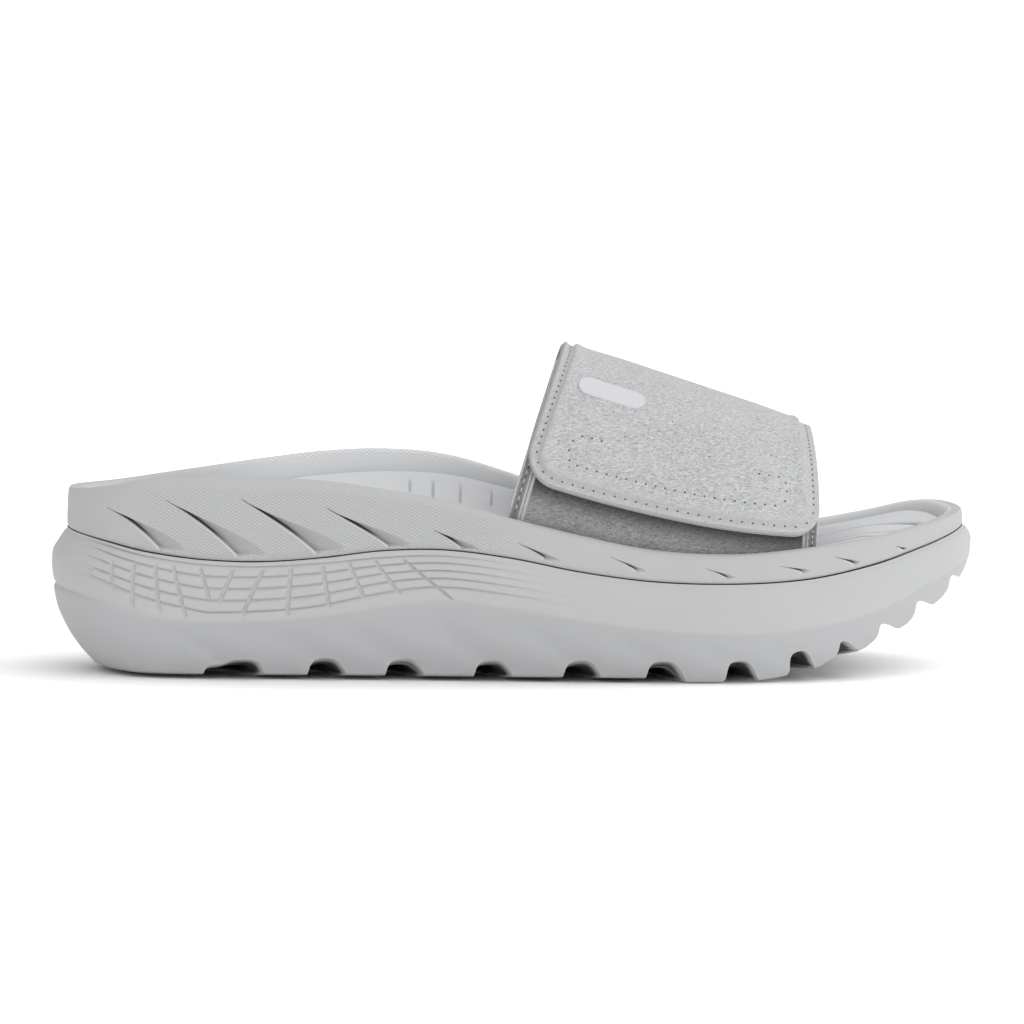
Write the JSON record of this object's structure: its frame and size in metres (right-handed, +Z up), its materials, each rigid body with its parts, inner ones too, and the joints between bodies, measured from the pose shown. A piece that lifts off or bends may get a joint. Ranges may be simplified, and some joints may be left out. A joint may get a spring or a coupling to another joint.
{
  "type": "recovery sandal",
  "caption": "Thick-soled slide sandal for the right foot: lugged foam sole with toe spring, contoured footbed inside a raised rim, and a padded strap closed by a hook-and-loop flap.",
  "frame": {"origin": "on the floor, under the middle of the overall box", "axes": "+X from heel to toe, +Y to the medial (inner) side, +Z up"},
  "size_m": [0.27, 0.1042, 0.0954],
  "materials": {
    "outsole": "matt moulded foam, light grey",
    "midsole": "matt moulded foam, light grey",
    "insole": "soft matt foam, light grey",
    "upper": "napped, light grey"
  },
  "bodies": {
    "root": {"outsole": "outsole", "midsole": "midsole", "insole": "insole", "upper": "upper"}
  },
  "joints": []
}
